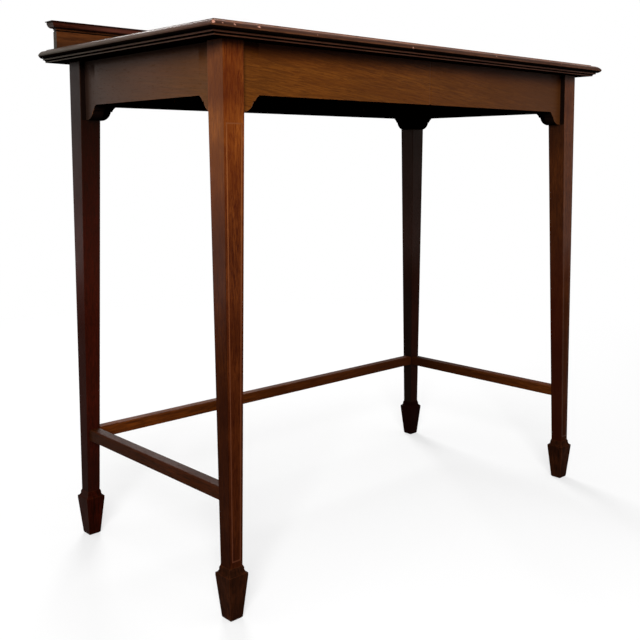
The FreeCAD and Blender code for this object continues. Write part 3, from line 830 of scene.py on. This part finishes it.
@dataclass
class Aprons:
    """The four aprons and the eight brackets under them."""

    arris: float = 0.6
    nick_place: float = 4.5  # along the front apron
    nick_half: float = 2.4
    nick_depth: float = 1.6
    nick_cuts: int = 3  # to each side of its middle
    nick_push: Place = (0.0, 0.5, 1.0)  # which way the wood is knocked in
    nick_rim: float = 0.1  # share of the depth at which the nick ends
    nick_reach: float = 1.2  # how far round the arris it goes, in widths of the easing
    nick_face: float = 9.0  # square millimetres: faces under this are part of the nick

    def build(self) -> None:
        """Make each apron, then its brackets."""
        for side in ("front", "back", "left", "right"):
            long = side in ("front", "back")
            grain = Grain.ACROSS_TABLE if long else Grain.FRONT_TO_BACK
            finish = SIDE_APRON_FINISH if side == "left" else APRON_FINISH
            near, far = (f"bracket_{side}_{end}"
                         for end in (("left", "right") if long else ("front", "back")))
            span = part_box(near)[1][grain.value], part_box(far)[0][grain.value]
            node = f"apron_{side}"
            shape = self.flush_apron(node, grain, span)
            finish_piece(node, shape, finish, grain)
            for node in (near, far):
                shape = node_shape(node)
                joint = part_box(node)[1].z - NEAR * MM
                ease(shape, self.arris, lambda a, b: min(a.z, b.z) < joint)
                leave_raw_and_shaded(shape)
                finish_piece(node, shape, finish, grain)

    def flush_apron(self, node: str, grain: Grain, span: Span) -> BMesh:
        """An apron that is eased only between its brackets, which are glued on flush.

        Args:
            node: The apron's CAD node.
            grain: Way that it runs.
            span: Where the brackets end, along the apron.

        Returns:
            Its shape.
        """
        shape = node_shape(node)
        along = Vector([float(axis == grain.value) for axis in range(3)])
        for place in span:
            cut(shape, shape.faces[:], along * place, along)
        axis, low, high = grain.value, span[0] - NEAR * MM, span[1] + NEAR * MM
        ease(shape, self.arris, lambda a, b: low < min(a[axis], b[axis])
             and max(a[axis], b[axis]) < high)
        leave_raw_and_shaded(shape)
        if node == "apron_front":
            self.knock(shape)
        return shape

    def knock(self, shape: BMesh) -> None:
        """Knock the old nick into the lower arris of the front apron.

        Args:
            shape: The front apron, eased.
        """
        layer = shape.faces.layers.float["unpolished_and_shaded"]
        for step in range(-self.nick_cuts, self.nick_cuts + 1):
            place = (self.nick_place + step * self.nick_half / self.nick_cuts) * MM
            cut(shape, shape.faces[:], (place, 0, 0), (1, 0, 0))
        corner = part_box("apron_front")[0]
        for vert in shape.verts:
            share = 1.0 - abs(vert.co.x / MM - self.nick_place) / self.nick_half
            reach = max(vert.co.y - corner.y, vert.co.z - corner.z)
            if share > self.nick_rim and reach < self.nick_reach * self.arris * MM:
                vert.co += Vector(self.nick_push) * (share * self.nick_depth * MM)
                # the nick's small faces take the black of dust and painted shade
                for face in vert.link_faces:
                    if face.calc_area() < self.nick_face * MM * MM:
                        face[layer] = 1.0


@dataclass
class Legs:
    """The tapered legs with their stringing."""

    arris: float = 0.9
    square: float = 32.5
    ankle: float = 20.6
    taper_foot: float = 71.5
    taper_head: float = 655.0
    on_line: float = 0.3  # how near to the leg's corner an edge is taken to be on it
    shortest: float = 10.0  # least rise of an edge that is part of an arris

    def build(self) -> None:
        """Make the legs and dress the strips."""
        for place, (finish, dust_and_shade) in LEG_FINISHES.items():
            node = f"leg_{place}"
            shape = node_shape(node)
            low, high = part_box(node)
            outer = Vector((high.x if "right" in place else low.x,
                            high.y if "back" in place else low.y, 0))
            ease(shape, self.arris, lambda a, b: self.on_arris(a, b, outer))
            # Faces into the frame above the taper head are wholly black: painted shadow of the
            # aprons
            leave_raw_and_shaded(shape, dust_and_shade, self.taper_head)
            finish_piece(node, shape, finish, Grain.UPRIGHT)
        for side, finish in (("left", SATINWOOD), ("right", SHADED_SATINWOOD)):
            for strip in ("lower", "inner", "upper", "outer"):
                dress(f"stringing_{side}_{strip}", finish.material())

    def on_arris(self, first: Vector, second: Vector, outer: Vector) -> bool:
        """Whether an edge is one of the leg's four long arrises, and not a joint or a groove.

        Args:
            first: One end of the edge.
            second: Its other end.
            outer: The leg's outer corner.

        Returns:
            True for a long arris.
        """
        for point in (first, second):
            rise = (point.z / MM - self.taper_foot) / (self.taper_head - self.taper_foot)
            width = self.ankle + (self.square - self.ankle) * min(1.0, rise)
            for reach in (abs(point.x - outer.x) / MM, abs(point.y - outer.y) / MM):
                if min(reach, abs(reach - width)) > self.on_line:
                    return False
        return abs(first.z - second.z) > self.shortest * MM


@dataclass
class SpadeFeet:
    """The four spade feet, each of four slips with their corner joints rubbed over."""

    arris: float = 0.5
    worn_base: float = 2.4  # rounding of the base by years of floors
    base: float = 19.4
    shoulder: float = 30.8
    shoulder_height: float = 58.0
    band: float = 3.8
    band_step: float = 0.9
    collar_top: float = 21.2
    collar: float = 23.6
    collar_height: float = 3.0
    height: float = 71.5
    hollow: float = 1.1  # depth of the neck's hollow
    hollow_steps: int = 6
    hollow_down: float = 0.4  # shares of that depth by which the neck sinks and draws in
    hollow_in: float = 0.9

    def levels(self) -> list[tuple[float, float]]:
        """Height and half width of the foot at each level, from the floor up.

        Returns:
            The levels in millimetres.
        """
        top_of_band = self.shoulder_height + self.band
        rise = self.height - self.collar_height - top_of_band
        inner, outer = self.collar / 2, self.shoulder / 2 - self.band_step
        neck = []
        for step in range(self.hollow_steps + 1):
            share = step / self.hollow_steps
            sag = 4 * share * (1 - share) * self.hollow
            neck.append((top_of_band + rise * share - sag * self.hollow_down,
                         outer + (inner - outer) * share - sag * self.hollow_in))
        return [(0.0, self.base / 2), (self.shoulder_height, self.shoulder / 2),
                (top_of_band, self.shoulder / 2), *neck, (self.height, self.collar_top / 2)]

    def raised(self, middle: Vector) -> BMesh:
        """A foot that is raised level by level from its base.

        Args:
            middle: Middle of the base, in metres.

        Returns:
            Its closed shape.
        """
        levels = self.levels()
        shape = bmesh.new()
        bmesh.ops.create_grid(shape, x_segments=1, y_segments=1, size=levels[0][1] * MM)
        bmesh.ops.translate(shape, verts=shape.verts, vec=middle)
        face = shape.faces[:][0]
        for (below, half_below), (above, half_above) in zip(levels, levels[1:]):
            grown = bmesh.ops.extrude_face_region(shape, geom=[face])["geom"]
            verts = [part for part in grown if isinstance(part, BMVert)]
            if face is not shape.faces[:][0]:
                bmesh.ops.delete(shape, geom=[face], context="FACES_ONLY")
            face = next(part for part in grown if isinstance(part, BMFace))
            bmesh.ops.translate(shape, verts=verts, vec=(0, 0, (above - below) * MM))
            share = half_above / half_below
            bmesh.ops.scale(shape, verts=verts, vec=(share, share, 1),
                            space=Matrix.Translation(-middle))
        bmesh.ops.recalc_face_normals(shape, faces=shape.faces)
        return shape

    def build(self) -> None:
        """Make each foot with its arrises eased and its base worn round."""
        for place in ("front_left", "front_right", "back_left", "back_right"):
            nodes = [f"foot_{place}_slip_{facing}" for facing in ("front", "right", "back", "left")]
            corners = [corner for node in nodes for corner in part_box(node)]
            reach = [[corner[axis] for corner in corners] for axis in (0, 1)]
            shape = self.raised(Vector([(min(r) + max(r)) / 2 for r in reach] + [0.0]))
            ease(shape, self.worn_base, lambda a, b: max(a.z, b.z) < NEAR * MM)
            ease(shape, self.arris)
            finish = FOOT_FINISH if "front" in place else BACK_FOOT_FINISH
            finish_piece(f"foot_{place}_spade", shape, finish, Grain.UPRIGHT, nodes)


@dataclass
class Stretchers:
    """The three stretchers, whose upper arrises are rounded over by feet."""

    arris: float = 0.6
    rubbed_arris: float = 2.6

    def build(self) -> None:
        """Make the stretchers with eased arrises."""
        for side in ("left", "right", "back"):
            grain = Grain.ACROSS_TABLE if side == "back" else Grain.FRONT_TO_BACK
            node = f"stretcher_{side}"
            shape = node_shape(node)
            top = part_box(node)[1].z - NEAR * MM
            ease(shape, self.arris, lambda a, b: max(a.z, b.z) < top)
            ease(shape, self.rubbed_arris, lambda a, b: min(a.z, b.z) > top, segments=4)
            finish_piece(node, shape, STRETCHER_FINISHES[side], grain)


@dataclass
class Fixings:
    """Screws and glue blocks under the top."""

    def build(self) -> None:
        """Dress the screws and blocks."""
        for node in sorted(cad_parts):
            if "screw" in node:
                dress(node, STEEL.material())
            elif "glue_block" in node:
                dress(node, GLUE_BLOCK.material())


@dataclass(frozen=True)
class Lamp:
    """A square lamp with a soft light."""

    name: str
    place: Place
    target: Place
    side: float
    power: float  # watts


@dataclass
class Studio:
    """Camera, pale floor and soft light."""

    camera_place: Place = (-1055.35, -1099.266, 598.193)
    yaw: float = 43.328
    pitch: float = -5.437
    roll: float = -0.152
    focal_length: float = 50.875
    sensor: float = 36.0
    shift: Span = (-0.0264, -0.1199)
    floor_reach: float = 12000.0
    floor_fade: Span = (700.0, 2200.0)  # from the table, where the floor is lost in white
    floor_glow: float = 0.5  # share of plain white in the floor near the table
    floor_colour: str = "f6f6f6"
    floor_bounce: str = "282624"  # what the floor throws back on the table
    sky_span: Span = (0.1, 0.9)  # upward share of the direction
    sky_light: Span = (0.0, 0.7)  # strength at the start and at the end of that span
    lamps: tuple[Lamp, ...] = (
        Lamp("main", (-2511.0, -2575.0, 1790.0), (-200.0, -50.0, 550.0), 1400.0, 155.0),
        Lamp("behind", (1300.0, 2600.0, 1700.0), (0.0, 0.0, 450.0), 1100.0, 60.0))

    def build(self) -> None:
        """Set up the camera, the floor, the lamps and the world."""
        self.camera()
        self.floor()
        for lamp in self.lamps:
            data = bpy.data.lights.new(lamp.name, "AREA")
            data.size = lamp.side * MM
            data.energy = lamp.power
            light = bpy.data.objects.new(lamp.name, data)
            light.visible_camera = False
            bpy.context.scene.collection.objects.link(light)
            light.location = Vector(lamp.place) * MM
            way = Vector(lamp.target) - Vector(lamp.place)
            light.rotation_euler = way.to_track_quat("-Z", "Y").to_euler()
        self.world()
        bpy.context.scene.view_settings.view_transform = "Standard"

    def camera(self) -> None:
        """The photograph's point of view."""
        yaw, pitch, roll = (math.radians(angle) for angle in (self.yaw, self.pitch, self.roll))
        ahead = Vector((math.sin(yaw) * math.cos(pitch), math.cos(yaw) * math.cos(pitch),
                        math.sin(pitch)))
        level = Vector((math.cos(yaw), -math.sin(yaw), 0.0))
        upward = level.cross(ahead)
        right = level * math.cos(roll) + upward * math.sin(roll)
        top = upward * math.cos(roll) - level * math.sin(roll)
        data = bpy.data.cameras.new("camera")
        data.lens = self.focal_length
        data.sensor_width = self.sensor
        data.sensor_fit = "HORIZONTAL"
        data.shift_x, data.shift_y = self.shift
        data.clip_end = 100.0  # metres, past the floor's rim
        camera = bpy.data.objects.new("camera", data)
        bpy.context.scene.collection.objects.link(camera)
        turn = Matrix((right, top, -ahead)).transposed().to_4x4()
        camera.matrix_world = Matrix.Translation(Vector(self.camera_place) * MM) @ turn
        bpy.context.scene.camera = camera

    def seen_ray(self, tree: NodeTree) -> Node:
        """1 for what the camera sees, straight, by gloss or through glass, and 0 for light.

        Args:
            tree: Node tree of the floor or the world.

        Returns:
            The node of that share.
        """
        ray = put(tree, "LightPath").outputs
        both = put(tree, "Math", (ray["Is Camera Ray"], ray["Is Glossy Ray"]), operation="ADD")
        return put(tree, "Math", (both, ray["Is Transmission Ray"]), operation="ADD",
                   use_clamp=True)

    def floor(self) -> None:
        """A plain pale floor that keeps the table's shadow and is lost in white further off."""
        shape = bmesh.new()
        bmesh.ops.create_circle(shape, cap_ends=True, segments=64, radius=self.floor_reach * MM)
        mesh = bpy.data.meshes.new("floor")
        shape.to_mesh(mesh)
        shape.free()
        # Matt paint on board: even, with no shine
        made = bpy.data.materials.new("matt_white_board")
        made.use_nodes = True
        tree = made.node_tree
        tree.nodes.clear()
        seen = self.seen_ray(tree)
        colour = lay(tree, linear(self.floor_bounce), ((seen, self.floor_colour),))
        board = put(tree, "BsdfPrincipled", {
            "Base Color": colour, "Roughness": 1.0, "Specular IOR Level": 0.0})
        place = put(tree, "TexCoord").outputs["Object"]
        gap = put(tree, "VectorMath", (place,), operation="LENGTH")
        ends = (end * MM for end in self.floor_fade)
        fade = put(tree, "MapRange", (gap, *ends, self.floor_glow, 1.0),
                   interpolation_type="SMOOTHSTEP")
        share = put(tree, "Math", (fade, seen), operation="MULTIPLY")
        white = put(tree, "Emission", {"Color": (1, 1, 1, 1), "Strength": 1.0})
        put(tree, "OutputMaterial", {"Surface": put(tree, "MixShader", (share, board, white))})
        mesh.materials.append(made)
        floor = bpy.data.objects.new("floor", mesh)
        bpy.context.scene.collection.objects.link(floor)

    def world(self) -> None:
        """White round the table, and a soft light that comes mostly from overhead."""
        world = bpy.data.worlds.new("white_room")
        world.use_nodes = True
        tree = world.node_tree
        tree.nodes.clear()
        way = put(tree, "TexCoord").outputs["Generated"]
        height = put(tree, "SeparateXYZ", (way,)).outputs["Z"]
        sky = put(tree, "MapRange", (height, *self.sky_span, *self.sky_light))
        strength = put(tree, "Mix", {0: self.seen_ray(tree), 2: sky, 3: 1.0})
        light = put(tree, "Background", {"Color": (1, 1, 1, 1), "Strength": strength})
        put(tree, "OutputWorld", {"Surface": light})
        bpy.context.scene.world = world


def main() -> None:
    """Build the studio and the table, logging each piece."""
    logging.basicConfig(level=logging.INFO, format="%(name)s: %(message)s")
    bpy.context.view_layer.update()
    for assembly in (Studio(), TableTop(), Gallery(), Aprons(), Legs(), SpadeFeet(), Stretchers(),
                     Fixings()):
        log.info("building %s", type(assembly).__name__)
        assembly.build()


if __name__ == "__main__":
    main()
